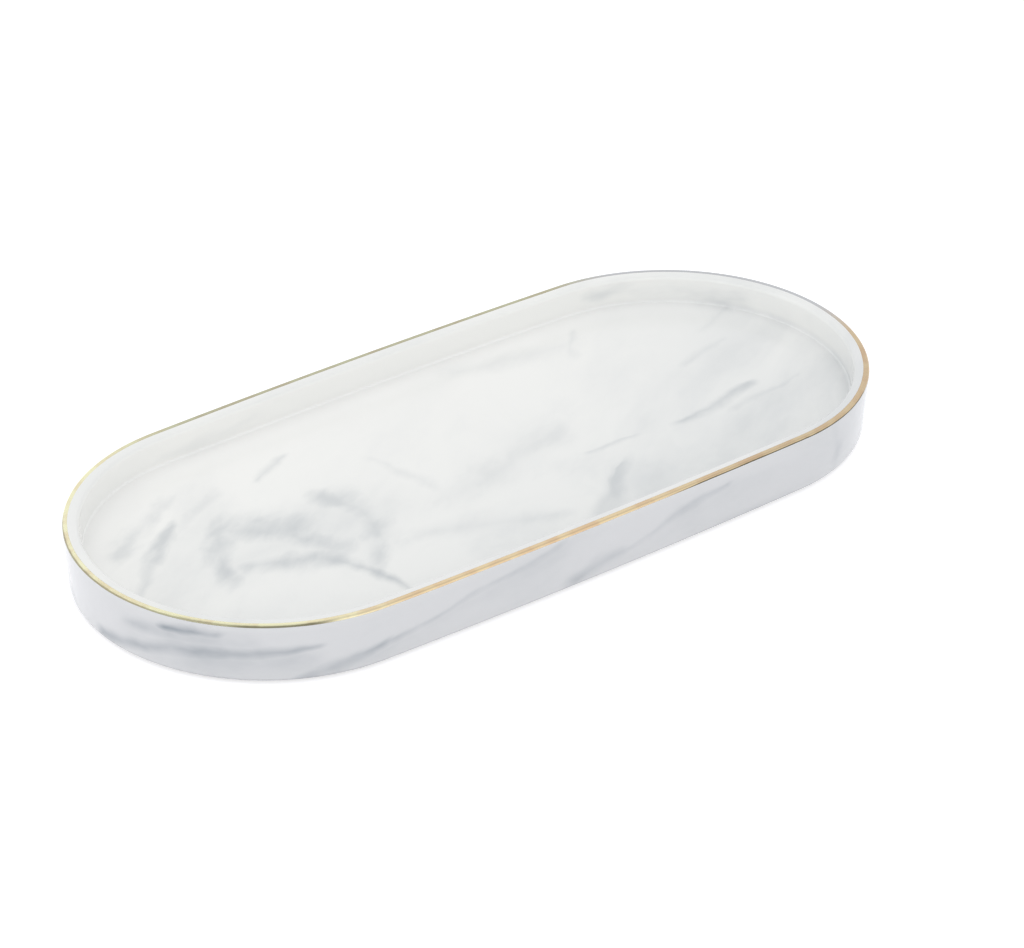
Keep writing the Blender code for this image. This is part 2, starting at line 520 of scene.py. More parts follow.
def build_smoke_group():
    """Turns the distance from a stroke into a smoky mask with torn edges."""
    start, end = new_group("Smoky edge", [], {"Away": 1.0, "Smoke": 0.5, "Wisps": 3.0}, ["Mask"])
    swirl = maths("SUBTRACT", start["Smoke"], 0.5)
    torn = scaled(swirl, start["Wisps"], start["Away"])
    soft = maths("POWER", remap(torn, 1.15, -0.35), 1.2)
    # The smoke also thins the middle of a stroke
    thin_middle = remap(start["Smoke"], 0.32, 0.68, to_low=1.12, to_high=0.84)
    plug(end, {"Mask": times(soft, thin_middle)})


# From where to where a noise turns to haze
HAZY = (0.42, 0.72)


def build_haze_group():
    """Faint patches where handling has dulled a polished surface, and a grain too fine to feel."""
    scales = {"Patch scale": 40.0, "Grain scale": 900.0}
    start, end = new_group("Handling haze", ["Coordinates"], scales, ["Mask", "Grain"])
    place = start["Coordinates"]
    patches = noise_field(place, Scale=start["Patch scale"], Detail=4.0, Roughness=0.6)["Fac"]
    grain = noise_field(place, Scale=start["Grain scale"], Detail=3.0, Roughness=0.55)["Fac"]
    plug(end, {"Mask": remap(patches, *HAZY), "Grain": grain})


GROUP_BUILDERS = {
    "Glaze stroke": build_stroke_group,
    "Smoky edge": build_smoke_group,
    "Handling haze": build_haze_group,
}


def use_group(name, inputs):
    """Places a shared node group, which is built the first time that a material asks for it."""
    if name not in bpy.data.node_groups:
        GROUP_BUILDERS[name]()
    return add_node("ShaderNodeGroup", inputs, node_tree=bpy.data.node_groups[name])


def handling_haze(coordinates, patch_scale, grain_scale):
    """Places the haze group in a material."""
    inputs = {"Coordinates": coordinates, "Patch scale": patch_scale, "Grain scale": grain_scale}
    return use_group("Handling haze", inputs)


def seen_by_eye(tree):
    """1 for what the camera sees, also in a reflection or through something clear."""
    path = add_node("ShaderNodeLightPath", {}, tree)
    rays = (path["Is Camera Ray"], path["Is Glossy Ray"], path["Is Transmission Ray"])
    return combine("MAXIMUM", rays)


def new_material(name):
    """An empty material and its Principled shader."""
    material = bpy.data.materials.new(name)
    material.use_nodes = True
    return material, material.node_tree.nodes["Principled BSDF"]


def tray_coordinates(material):
    """Where a point lies on the tray."""
    return add_node("ShaderNodeTexCoord", {}, material.node_tree)["Object"]


# Marbling, with some painted shadow on the floor, placed one by one

Streak = namedtuple("Streak", "strength points sharp wisps")


def streak(strength, *points, sharp=0.0, wisps=3.0):
    """A streak through points, each (place along, place across, half width) in millimetres."""
    return Streak(strength, points, sharp, wisps)


# On the floor, seen from above: x, y
FLOOR_STREAKS = (
    streak(0.46, (-87, 22, 3.2), (-93, 17, 4.4), (-99, 11, 4.2), wisps=2.4),
    streak(0.30, (-99, 11, 4.2), (-106, 5, 3.4), (-112, -1, 2.4), wisps=2.4),
    streak(0.30, (-107, 19, 5), (-95, 26, 6), (-84, 32, 4)),
    streak(0.24, (-84, 21, 5), (-68, 29, 4), wisps=2.4),
    streak(0.16, (-108, -8, 14), (-90, 8, 18), (-76, 24, 13), wisps=1.6),
    streak(0.34, (-55, 28, 1.8), (-49, 31, 2.8), (-42, 34, 1.8), wisps=2),
    streak(0.46, (-88, -6, 6.5), (-84, 3, 9.5), (-78, 12, 7.5), wisps=2),
    streak(0.46, (-74, 9, 9), (-65, 2, 13), (-60, -6, 9), wisps=1.8),
    # Partly marbling, partly painted shadow along its upper half
    streak(0.52, (-80, -8, 6.5), (-67, -13, 7.5), (-61, -20, 5), (-58, -28, 3.4), (-55, -41, 2.2),
           wisps=1.8),
    # Partly marbling, partly painted shadow
    streak(0.38, (-45, 10, 5), (-41, 0, 7.5), (-43, -13, 7.5), (-53, -25, 5), wisps=2.2),
    # A broad wash, partly marbling and partly painted shadow
    streak(0.19, (-82, -4, 15), (-62, -3, 19), (-44, -4, 16), wisps=1.4),
    streak(0.14, (-23, 18, 2.5), (-19, -3, 4)),
    streak(0.20, (-32, -23, 6), (-17, -28, 8), (-2, -36, 5), wisps=2),
    streak(0.20, (-14, -11, 8), (4, -8, 10), (24, -2, 8), wisps=2),
    streak(0.40, (6, -46, 11), (13, -39, 10.5), (21, -32.5, 7.5), (31, -26, 3.6), sharp=0.8, wisps=1.2),
    streak(0.22, (28, -14, 2), (44, -15.5, 1.8), sharp=0.3, wisps=1.6),
    streak(0.42, (60, -16.5, 3), (74, -14.8, 4.4), (87, -12.5, 2.4), sharp=0.3, wisps=1.4),
    streak(0.22, (76, -20, 3), (102, -17, 2.2), wisps=1.8),
    streak(0.20, (83, 8, 3), (98, 12, 2.4), wisps=1.8),
    streak(0.12, (84, 0, 9), (100, 6, 11), (116, 10, 8), wisps=2),
    streak(0.22, (58, 33, 2.6), (66, 42, 2)),
    streak(0.14, (26, 43, 5), (44, 40, 7), (58, 37, 5), wisps=2),
    streak(0.18, (99, 21, 3), (113, 27, 2.6)),
    streak(0.18, (30, -38, 10), (70, -30, 14), (106, -20, 9), wisps=2),
)

# On the outside wall, seen from in front of it: x, z
FRONT_STREAKS = (
    streak(0.96, (-119, 14.2, 2.2), (-115.5, 14.6, 3.6), (-111, 14.6, 2.8), wisps=1.2),
    streak(0.44, (-122.5, 12, 3.6), (-114, 13, 4.6), (-105, 13.2, 4), wisps=1),
    streak(0.74, (-124.4, 2.6, 3), (-121.8, 5.6, 3.8), (-118.5, 8.4, 4.2), (-112, 9.2, 4),
           (-103, 9.9, 3.2), (-90, 11.2, 1.4), wisps=0.8),
    streak(0.26, (-122, 5.6, 7), (-110, 6.6, 7), (-92, 7.4, 5), wisps=1.2),
    streak(0.66, (-94, 1, 4.4), (-89.5, 3.2, 4.8), (-81, 5.6, 3.8), (-73, 6.8, 3), sharp=0.2, wisps=1),
    streak(0.38, (-78, 6.4, 2.8), (-64, 7.8, 2.8), (-53, 9.4, 2.6), (-46, 11.6, 2.8), (-37, 13.2, 3),
           (-25, 14.6, 3.4), (-16, 16.6, 3), sharp=0.4, wisps=1),
    streak(0.16, (-84, 3, 4), (-64, 5.6, 5.5), (-50, 8.4, 7), (-36, 11.4, 7.5), (-16, 15.6, 7.5),
           sharp=0.8, wisps=1),
    streak(0.52, (-10, 2.6, 3.4), (-3, 4.6, 4), (6, 5.8, 3), wisps=1),
    streak(0.36, (4, 5.6, 2.6), (16, 7.8, 2.6), (25, 11, 3.6), (33, 12.8, 2.8), (42, 13.8, 2), sharp=0.3,
           wisps=1.2),
    streak(0.09, (2, 4.4, 5), (22, 9.6, 7), (36, 12.4, 8), (82, 12.4, 8), sharp=0.8, wisps=1),
    streak(0.24, (85, 3, 3.6), (85.5, 9, 3.2), (83, 15, 2.8), wisps=1.4),
    streak(0.20, (34, 1.4, 1.8), (66, 1.6, 1.8), wisps=1.2),
)
BACK_STREAKS = (
    streak(0.50, (-121, 4, 3), (-108, 8.4, 3.8), (-92, 12, 3), (-66, 13.8, 2.2), sharp=0.3, wisps=1.2),
    streak(0.46, (-62, 1.8, 2.8), (-46, 5.2, 3.6), (-30, 8, 3), (0, 11, 2.2), sharp=0.4, wisps=1.2),
    streak(0.14, (-58, 1.6, 5), (-26, 7.4, 7), (8, 9, 6), sharp=0.8, wisps=1),
    streak(0.46, (6, 14.6, 2.2), (28, 12, 3.2), (46, 8.4, 3.6), (74, 2.4, 2.4), sharp=0.3, wisps=1.2),
    streak(0.44, (84, 13.2, 2.6), (98, 9.4, 3.4), (114, 4.8, 3), wisps=1.2),
    streak(0.16, (92, 7, 6), (116, 6, 6), wisps=1.2),
)

# On the inside wall, on the back half: x, z
INNER_STREAKS = (
    # The first is a soft grey band along the inside wall at the right end
    streak(0.26, (82, 14.4, 3.4), (98, 13.4, 4.6), (115, 13, 4.4)),
    streak(0.10, (-72, 12, 2.6), (-40, 14.5, 3)),
)

# How deep a streak reaches into the clay, so that it doesn't show through on another face
FLOOR_STREAK_DEPTH = 5.0 * MM
WALL_STREAK_DEPTH = 3.4 * MM


def stroke_frame(start, end, outward):
    """Centre, turn and half length of a stroke from start to end on a face that looks outward."""
    along = (end - start).normalized()
    across = outward.cross(along).normalized()
    turn = Matrix((along, across, along.cross(across))).transposed().to_euler()
    return {"Centre": (start + end) / 2, "Turn": tuple(turn), "Half length": (end - start).length / 2}


def placed_strokes(drawn, place, depth):
    """The strokes that join a streak's points. The function place puts such a point on the tray."""
    for first, last in zip(drawn.points, drawn.points[1:]):
        start, outward = place(first[0] * MM, first[1] * MM)
        end, end_outward = place(last[0] * MM, last[1] * MM)
        yield {
            **stroke_frame(start, end, (outward + end_outward).normalized()),
            "Start width": first[2] * MM,
            "End width": last[2] * MM,
            "Depth": depth,
            "Sharp side": drawn.sharp,
        }


def streak_sets(shape, inside, floor_smoke, wall_smoke):
    """The sets of streaks inside or outside, each with what places its points, its depth and its smoke."""
    oval = Oval(shape)

    def on_floor(x, y):
        return Vector((x, y, shape.floor_height)), Vector((0, 0, 1))

    def on_wall(inset, side):
        def place(x, z):
            point = oval.wall_place(x, z, inset, side)
            beyond = max(abs(x) - oval.end_centre, 0)
            return point, Vector((math.copysign(beyond, x), point.y, 0)).normalized()

        return place

    if inside:
        inner_inset = shape.lip_width + shape.lip_reach + shape.inner_draft / 2
        return (
            (FLOOR_STREAKS, on_floor, FLOOR_STREAK_DEPTH, floor_smoke),
            (INNER_STREAKS, on_wall(inner_inset, 1), WALL_STREAK_DEPTH, wall_smoke),
        )
    return (
        (FRONT_STREAKS, on_wall(shape.outer_draft / 2, -1), WALL_STREAK_DEPTH, wall_smoke),
        (BACK_STREAKS, on_wall(shape.outer_draft / 2, 1), WALL_STREAK_DEPTH, wall_smoke),
    )


def streak_densities(bent, sets, marbling):
    """How dark a point is in each streak, one streak after the other."""
    for streaks, place, depth, smoke in sets:
        for drawn in streaks:
            strokes = (
                use_group("Glaze stroke", {"Coordinates": bent, **stroke})["Away"]
                for stroke in placed_strokes(drawn, place, depth)
            )
            away = combine("MINIMUM", strokes)
            edge = {"Away": away, "Smoke": smoke, "Wisps": drawn.wisps}
            mask = use_group("Smoky edge", edge)["Mask"]
            yield times(mask, drawn.strength * marbling)


# How far slow currents in the wet glaze bend every streak
GLAZE_BEND = (7.0 * MM, 7.0 * MM, 3.0 * MM)

# Smoke is drawn out on the slant across the floor, and along the walls
FLOOR_SMEAR = {"Rotation": (0.0, 0.0, math.radians(32)), "Scale": (2.2, 1.0, 0.7)}
WALL_SMEAR = {"Rotation": (0.0, math.radians(-9), 0.0), "Scale": (3.0, 2.4, 1.0)}

# Pooled glaze and painted light make the white paler at the foot of the inside wall, lifting the shade
# there: inset from the rim, and height above the floor
POOL_AND_LIGHT_INSETS = (15 * MM, 8 * MM)
POOL_AND_LIGHT_TOP = 1.2 * MM
POOL_AND_LIGHT_FULL = 0.3 * MM
POOL_AND_LIGHT_SHARE = 0.6

# How much mist shows in front and at the back, and the slanted span across the tray where that fades. The
# extra mist in front is painted shade.
INSIDE_MIST_AND_SHADE = (0.92, 0.16)
OUTSIDE_MIST_AND_SHADE = (0.55, 0.20)
MIST_AND_SHADE_SPAN = (-50 * MM, 45 * MM)
MIST_AND_SHADE_SLANT = -0.2

# The mist halves up the inside wall and thickens on the lip as painted shade, more so in front
UP_WALL = (0.5 * MM, 2.5 * MM)
BELOW_RIM = (1.2 * MM, 0.4 * MM)
LIP_SPAN = (10 * MM, -30 * MM)
LIP_SHADE = (0.36, 0.50)

# The uneven line that the glaze stops at, above the standing ring
GLAZE_LINE_WAVER = 0.5 * MM
GLAZE_LINE_DROP = 0.05 * MM
GLAZE_LINE_EDGE = 0.03 * MM


def bend_glaze(coordinates):
    """Coordinates as slow currents in the wet glaze have bent them."""
    current = noise_field(coordinates, Scale=45.0, Detail=3.0, Roughness=0.55)["Color"]
    pull = vector_maths("ADD", current, (-0.5, -0.5, -0.5))["Vector"]
    return vector_maths("MULTIPLY_ADD", pull, GLAZE_BEND, coordinates)["Vector"]


def mist_and_shade_amount(shape, parts, inside):
    """How much of the mist shows from place to place, with painted shade that darkens the front and the
    lip.
    """
    towards_back = scaled(parts["X"], MIST_AND_SHADE_SLANT, parts["Y"])
    mist = INSIDE_MIST_AND_SHADE if inside else OUTSIDE_MIST_AND_SHADE
    amount = remap(towards_back, *MIST_AND_SHADE_SPAN, *mist, curve="LINEAR")
    if not inside:
        return amount
    wall = [shape.floor_height + rise for rise in UP_WALL]
    amount = times(amount, remap(parts["Z"], *wall, to_low=1.0, to_high=0.5))
    on_lip = remap(parts["Z"], *[shape.rim_height - drop for drop in BELOW_RIM])
    return scaled(on_lip, remap(parts["Y"], *LIP_SPAN, *LIP_SHADE), amount)


def pool_and_light_white(look, shape, parts):
    """The white inside, pooled and painted paler with light where the floor meets the wall."""
    oval = Oval(shape)
    reach = {"X": past(parts["X"], oval.end_centre), "Y": parts["Y"]}
    from_middle = vector_maths("LENGTH", add_node("ShaderNodeCombineXYZ", reach)["Vector"])
    near_wall = remap(from_middle["Value"], *[oval.end_radius - inset for inset in POOL_AND_LIGHT_INSETS])
    low_down = remap(parts["Z"], shape.floor_height + POOL_AND_LIGHT_TOP, shape.floor_height + POOL_AND_LIGHT_FULL)
    pool_and_light_share = times(near_wall, low_down, POOL_AND_LIGHT_SHARE)
    return mix_colour(pool_and_light_share, solid(look.white), solid(look.pool))


def make_glaze(name, look, shape, inside):
    """Glossy white glaze with soft grey marbling, left off the standing ring. Painted shade darkens its
    front, its lip and its outside, and painted light brightens the foot of the inside wall.
    """
    material, shader = new_material(name)
    coordinates = tray_coordinates(material)
    bent = bend_glaze(coordinates)
    slanted = placed_frame(bent, **FLOOR_SMEAR)
    level = placed_frame(bent, **WALL_SMEAR)
    floor_smoke = noise_field(slanted, Scale=105.0, Detail=4.0, Roughness=0.52)["Fac"]
    wall_smoke = noise_field(level, Scale=150.0, Detail=3.0)["Fac"]

    # The listed streaks. Where two cross, the darker one shows
    sets = streak_sets(shape, inside, floor_smoke, wall_smoke)
    darkest = combine("MAXIMUM", streak_densities(bent, sets, look.marbling))

    # Mist that drifts everywhere between them, in amounts that also carry painted shade
    clouds = noise_field(slanted, Scale=30.0, Detail=5.0, Roughness=0.55, Distortion=0.5)["Fac"]
    drawn_out = remap(floor_smoke, 0.5, 0.75, to_low=0.52, to_high=0.72)
    misty = maths("MULTIPLY_ADD", remap(clouds, *HAZY), 0.45, drawn_out, clamp=True)
    parts = split(coordinates)
    amount = mist_and_shade_amount(shape, parts, inside)
    # Outside, the white is a painted shaded copy of the glaze, darker and cooler
    white = pool_and_light_white(look, shape, parts) if inside else solid(look.shaded_white_outside)
    shown = times(amount, look.marbling, misty)
    misted = mix_colour(shown, white, solid(look.mist))
    veined = mix_colour(darkest, misted, solid(look.vein))

    # Bare clay shows on the standing ring, up to an uneven glaze line
    uneven = noise_field(coordinates, Scale=220.0, Detail=2.0)["Fac"]
    lowest = shape.foot_height - GLAZE_LINE_DROP
    line = scaled(uneven, GLAZE_LINE_WAVER, lowest)
    above_line = maths("SUBTRACT", parts["Z"], line)
    bare = remap(above_line, GLAZE_LINE_EDGE, -GLAZE_LINE_EDGE)
    clay = noise_field(coordinates, Scale=2600.0, Detail=3.0, Roughness=0.7)["Fac"]
    gritty = remap(clay, 0.35, 0.75)
    bisque = mix_colour(gritty, solid(look.bisque), solid(look.bisque, brightness=0.8))

    # Slow orange peel in the glaze, fine grit in the bare clay
    haze = handling_haze(coordinates, patch_scale=34.0, grain_scale=1400.0)
    gloss = scaled(haze["Mask"], 0.07, look.roughness)
    peel = noise_field(coordinates, Scale=260.0, Detail=2.0, Roughness=0.4)["Fac"]
    grit = times(clay, bare, 6.0)
    height = maths("ADD", scaled(haze["Grain"], 0.04, peel), grit)
    plug(shader, {
        "Base Color": mix_colour(bare, veined, bisque),
        "Roughness": maths("ADD", gloss, times(bare, 0.7)),
        "Normal": relief(height, strength=0.5, distance=0.012 * MM),
        "IOR": 1.5,
    })
    return material


# Where each painted tone of the gold, highlight and shade, starts and where it is full, along the tray or
# across it
RIGHT_SHADE_ALONG = (-15 * MM, 70 * MM)
BACK_SHADE_ACROSS = (-5 * MM, 45 * MM)
HIGHLIGHT_ALONG = (-55 * MM, -98 * MM)
GREY_SHADE_PLACE = (112 * MM, 30 * MM)
GREY_SHADE_REACH = (52 * MM, 30 * MM)

# Where painted shade darkens the gold's lower edge, along and across: olive round the left end, dark beside
# it and at the right
OLIVE_PLACE = ((-94 * MM, -106 * MM), (38 * MM, 26 * MM))
LEFT_DARK_PLACE = ((-83 * MM, -92 * MM), (-30 * MM, -42 * MM))
RIGHT_DARK_PLACE = ((18 * MM, 34 * MM), (-40 * MM, -50 * MM))
THIN_LINE = (0.40 * MM, 0.56 * MM)
WIDE_LINE = (0.16 * MM, 0.40 * MM)


def corner(parts, along, across):
    """Fades in along the tray and across it."""
    return times(remap(parts["X"], *along), remap(parts["Y"], *across))


def painted_shade_line(shape, parts, brushed):
    """The painted shade line along the gold's lower edge, wide at the left end and thin at the right."""
    height = maths("SUBTRACT", shape.rim_height, parts["Z"])
    uneven = scaled(brushed, 0.3 * MM, height)
    thin = times(remap(uneven, *THIN_LINE), corner(parts, *RIGHT_DARK_PLACE))
    left = times(corner(parts, *LEFT_DARK_PLACE), 0.85)
    olive = times(corner(parts, *OLIVE_PLACE), 0.62)
    deep = maths("MAXIMUM", left, olive)
    return maths("MAXIMUM", thin, times(remap(uneven, *WIDE_LINE), deep))


def make_gold(look, shape):
    """Bright gold fired onto the glaze. Its tone changes round the rim, with painted highlight and painted
    shade standing in for its reflections.
    """
    material, shader = new_material("fired_gold")
    coordinates = tray_coordinates(material)
    parts = split(coordinates)

    # Warm gold in front; painted shade makes it tan at the right and thin and greenish along the back, and
    # a painted highlight makes it paler at the left end
    tone = mix_colour(remap(parts["X"], *RIGHT_SHADE_ALONG), solid(look.gold), solid(look.tan))
    tone = mix_colour(remap(parts["Y"], *BACK_SHADE_ACROSS), tone, solid(look.thin))
    tone = mix_colour(remap(parts["X"], *HIGHLIGHT_ALONG), tone, solid(look.highlight_gold))

    # Brush marks a few millimetres long, gold painted grey as shade in one place, and pinholes
    brushed = noise_field(coordinates, Scale=150.0, Detail=3.0, Distortion=0.4)["Fac"]
    rosy = mix_colour(1.0, tone, solid(look.patches), blend="MULTIPLY")
    tone = mix_colour(remap(brushed, 0.38, 0.66), tone, rosy)
    grey_shade_middle = (*GREY_SHADE_PLACE, shape.rim_height)
    from_grey_shade = vector_maths("DISTANCE", coordinates, grey_shade_middle)["Value"]
    tone = mix_colour(remap(from_grey_shade, *GREY_SHADE_REACH), tone, solid(look.grey_shade))
    pinholes = noise_field(coordinates, Scale=1500.0, Detail=2.0)["Fac"]
    specks = times(remap(pinholes, 0.70, 0.78), 0.5)
    # Pinholes, and the painted shade line along the gold's lower edge
    dark = maths("MAXIMUM", specks, painted_shade_line(shape, parts, brushed))

    haze = handling_haze(coordinates, patch_scale=120.0, grain_scale=3200.0)
    rough = scaled(haze["Mask"], 0.10, look.roughness)
    height = scaled(haze["Grain"], 0.35, brushed)
    plug(shader, {
        "Base Color": mix_colour(dark, tone, solid(look.shade_line)),
        "Metallic": 1.0,
        "Roughness": scaled(dark, 0.12, rough),
        "Normal": relief(height, strength=0.5, distance=0.02 * MM),
    })
    return material


def make_silicone(look):
    """Milky clear silicone with the fine grain of its mould and faint dull patches."""
    material, shader = new_material("clear_silicone")
    haze = handling_haze(tray_coordinates(material), patch_scale=260.0, grain_scale=5200.0)
    dulled = times(haze["Mask"], 0.35)
    plug(shader, {
        "Base Color": mix_colour(dulled, solid(look.silicone), solid(look.silicone, brightness=0.82)),
        "Roughness": scaled(haze["Mask"], 0.18, 0.42),
        "Normal": relief(haze["Grain"], strength=0.6, distance=0.02 * MM),
        "IOR": 1.41,
        "Subsurface Weight": 0.35,
        "Subsurface Radius": (1.0, 1.0, 1.0),
        "Subsurface Scale": 1.2 * MM,
    })
    return material


def make_adhesive(look):
    """The clear adhesive between a pad and the tray, with small trapped bubbles."""
    material, shader = new_material("clear_adhesive")
    haze = handling_haze(tray_coordinates(material), patch_scale=900.0, grain_scale=4000.0)
    bubbly = solid(look.adhesive, brightness=1.15)
    plug(shader, {
        "Base Color": mix_colour(haze["Mask"], solid(look.adhesive), bubbly),
        "Roughness": scaled(haze["Grain"], 0.3, 0.15),
        "Normal": relief(haze["Grain"], strength=0.4, distance=0.02 * MM),
    })
    return material


# The pieces

# The height over which the ripple fades, and how squarely a face must look out to be outside
RIPPLE_FADE = 1.5 * MM
OUTWARD_ENOUGH = 0.3

# The gold narrows round the left end, from this place on and over this distance
NARROW_START = -80 * MM
NARROW_SPAN = 25 * MM

# Small roundings of the pads and their adhesive
COLLAR_TOP_ROUND = 0.12 * MM
COLLAR_FOOT_ROUND = 0.5 * MM
DIMPLE_ROUND = 0.1 * MM
BULGE_ROUND = 0.05 * MM


def dish_section(shape, oval, proud):
    """From the middle of the floor, up the inside, over the lip, down the outside and under the foot.

    The whole lip lies just inside its true line, by as much as the gold stands proud of it."""
    top = shape.rim_height - proud
    lip_inner = shape.lip_width + shape.lip_reach
    inner_foot = lip_inner + shape.inner_draft
    ring_edge = shape.outer_draft + shape.ring_width
    recess_edge = ring_edge + shape.recess_draft
    middle = oval.end_radius - FLAT_RING_STEP / 2
    wall_points = rounded([
        (inner_foot + 2 * shape.floor_fillet, shape.floor_height, 0),
        (inner_foot, shape.floor_height, shape.floor_fillet),
        (lip_inner, shape.rim_height - shape.lip_fall, shape.lip_corner_round),
        (shape.lip_width, top, shape.lip_inner_round),
        (proud, top, shape.rim_round - proud),
        (proud, shape.rim_height - shape.lip_band, shape.wall_bend_round),
        (shape.outer_draft, shape.foot_height, shape.base_round),
        (ring_edge, shape.foot_height, shape.ring_round),
        (recess_edge, shape.roof_height, shape.recess_fillet),
        (recess_edge + 2 * shape.recess_fillet, shape.roof_height, 0),
    ])
    floor_points = flat_rings(middle, inner_foot + 2 * shape.floor_fillet, shape.floor_height)
    roof_points = flat_rings(middle, recess_edge + 2 * shape.recess_fillet, shape.roof_height)
    return floor_points + wall_points + roof_points[::-1]


def wander(place, waves, finer_waves, finer_share, shift=0.0):
    """Smooth wandering of two sizes, each in waves per metre."""
    shifted = place * waves + Vector((0, 0, shift))
    return noise.noise(shifted) + finer_share * noise.noise(place * finer_waves)


def clamped(value):
    """A value kept between 0 and 1."""
    return min(max(value, 0), 1)


def ripple_surface(mesh, shape):
    """Lets the fired surface wander a little, but not at the rim or where the ring stands."""
    calm_top = shape.rim_height - shape.lip_band
    calm_foot = shape.foot_height + shape.base_round
    normals = [vertex.normal.copy() for vertex in mesh.vertices]
    for vertex, normal in zip(mesh.vertices, normals):
        below_rim = clamped((calm_top - vertex.co.z) / RIPPLE_FADE)
        above_foot = clamped((vertex.co.z - calm_foot) / RIPPLE_FADE)
        wandering = wander(vertex.co, 45, 110, 0.5)
        vertex.co += normal * wandering * shape.ripple * below_rim * above_foot


def mark_outside(mesh, shape):
    """Gives the outside and the underside the second glaze material, whose white is a painted shaded copy.
    The gold covers where the two meet.
    """
    end_centre = Oval(shape).end_centre
    for face in mesh.polygons:
        middle = Vector((min(max(face.center.x, -end_centre), end_centre), 0, face.center.z))
        faces_out = face.normal.dot((face.center - middle).normalized()) > OUTWARD_ENOUGH
        if faces_out or face.center.z < shape.floor_height - MM:
            face.material_index = 1


def rim_point(shape, along, depth):
    """A point so deep under the rim's skin, measured along it from the foot of its outer rounding."""
    arc = shape.rim_round * math.pi / 2
    if along < 0:
        return Vector((depth, shape.rim_height - shape.rim_round + along))
    if along > arc:
        return Vector((shape.rim_round + along - arc, shape.rim_height - depth))
    angle = along / shape.rim_round
    radius = shape.rim_round - depth
    return Vector((
        shape.rim_round - radius * math.cos(angle),
        shape.rim_height - shape.rim_round + radius * math.sin(angle),
    ))


def gold_section(shape, gilding, oval, station):
    """A thin skin over the rim. Both edges wander a little and sink into the glaze."""
    around = oval.place(station, 0, 0)
    drop = shape.rim_round - gilding.side_reach
    first = drop if drop < 0 else shape.rim_round * math.asin(drop / shape.rim_round)
    first -= gilding.waver * wander(around, 60, 240, 0.4, shift=8.3)
    last = shape.rim_round * (math.pi / 2 - 1) + gilding.top_reach
    last -= gilding.left_narrowing * clamped((NARROW_START - around.x) / NARROW_SPAN)
    last += gilding.waver * wander(around, 55, 210, 0.4, shift=1.7)
    skin_first = first + gilding.taper
    skin_reach = last - gilding.taper - skin_first
    sunk = 2 * gilding.thickness
    points = [rim_point(shape, first, sunk), rim_point(shape, first, gilding.thickness)]
    for step in range(GOLD_STEPS + 1):
        points.append(rim_point(shape, skin_first + skin_reach * step / GOLD_STEPS, 0))
    points.append(rim_point(shape, last, gilding.thickness))
    for step in range(GOLD_STEPS):
        points.append(rim_point(shape, last + (first - last) * step / GOLD_STEPS, sunk))
    return points


def pad_profile(pads):
    """A moulded pad: bonded face, upright collar, tapered side, round edge and dimpled tip."""
    bonded = pad_high.z
    dimple = pads.dimple_diameter / 2
    return rounded([
        (0, bonded, 0),
        (pads.top_diameter / 2, bonded, COLLAR_TOP_ROUND),
        (pads.top_diameter / 2, bonded - pads.collar_height, COLLAR_FOOT_ROUND),
        (pads.tip_diameter / 2, 0, pads.tip_round),
        (dimple, 0, DIMPLE_ROUND),
        (dimple - pads.dimple_depth, pads.dimple_depth, DIMPLE_ROUND),
        (0, pads.dimple_depth, 0),
    ])


def adhesive_profile(pads, shape):
    """A thin disc that fills the space between a pad and the roof of the recess."""
    radius = pads.adhesive_diameter / 2
    bulge = (shape.roof_height - pad_high.z) / 2
    return rounded([
        (0, shape.roof_height, 0),
        (radius, shape.roof_height, 0),
        (radius + bulge, pad_high.z + bulge, BULGE_ROUND),
        (radius, pad_high.z, 0),
        (0, pad_high.z, 0),
    ])


class VANITYTRAY_OT_dish(Operator):
    """Make the glazed ceramic dish"""

    bl_idname = "vanity_tray.dish"
    bl_label = "Glazed dish"

    def execute(self, context):
        scene = context.scene
        shape = scene.vanity_tray_shape
        oval = Oval(shape)
        section = dish_section(shape, oval, scene.vanity_tray_gilding.thickness)
        mesh = sweep_round("glazed_dish", oval, lambda station: section, closed=False)
        ripple_surface(mesh, shape)
        look = scene.vanity_tray_glaze
        glazes = [
            make_glaze("glaze_inside", look, shape, inside=True),
            make_glaze("glaze_outside", look, shape, inside=False),
        ]
        add_piece("glazed_dish", mesh, glazes, "glazed_body", "tray_body")
        mark_outside(mesh, shape)
        return {"FINISHED"}


class VANITYTRAY_OT_gold_line(Operator):
    """Lay the line of gold over the rim"""

    bl_idname = "vanity_tray.gold_line"
    bl_label = "Gold line"

    def execute(self, context):
        scene = context.scene
        shape = scene.vanity_tray_shape
        gilding = scene.vanity_tray_gilding
        oval = Oval(shape)
        mesh = sweep_round(
            "gold_line", oval, lambda station: gold_section(shape, gilding, oval, station), closed=True
        )
        add_piece("gold_line", mesh, [make_gold(gilding, shape)], "gilding", "gilded_rim")
        return {"FINISHED"}


class VANITYTRAY_OT_pads(Operator):
    """Make the four soft pads and the adhesive that holds them"""

    bl_idname = "vanity_tray.pads"
    bl_label = "Soft pads"

    def execute(self, context):
        scene = context.scene
        pads = scene.vanity_tray_pads
        silicone = make_silicone(pads)
        adhesive = make_adhesive(pads)
        for place in PAD_PLACES:
            low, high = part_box(f"foot_pad_{place}")
            centre = (low + high) / 2
            name = f"silicone_pad_{place}"
            pad = turned(name, pad_profile(pads), centre)
            add_piece(name, pad, [silicone], "pads", f"foot_pad_{place}")
            name = f"pad_adhesive_{place}"
            disc = turned(name, adhesive_profile(pads, scene.vanity_tray_shape), centre)
            add_piece(name, disc, [adhesive], "pads")
        return {"FINISHED"}


# The stage

FLOOR_SIZE = 8.0
FLOOR_GAP = 0.02 * MM
PURE_WHITE = (1.0, 1.0, 1.0, 1.0)

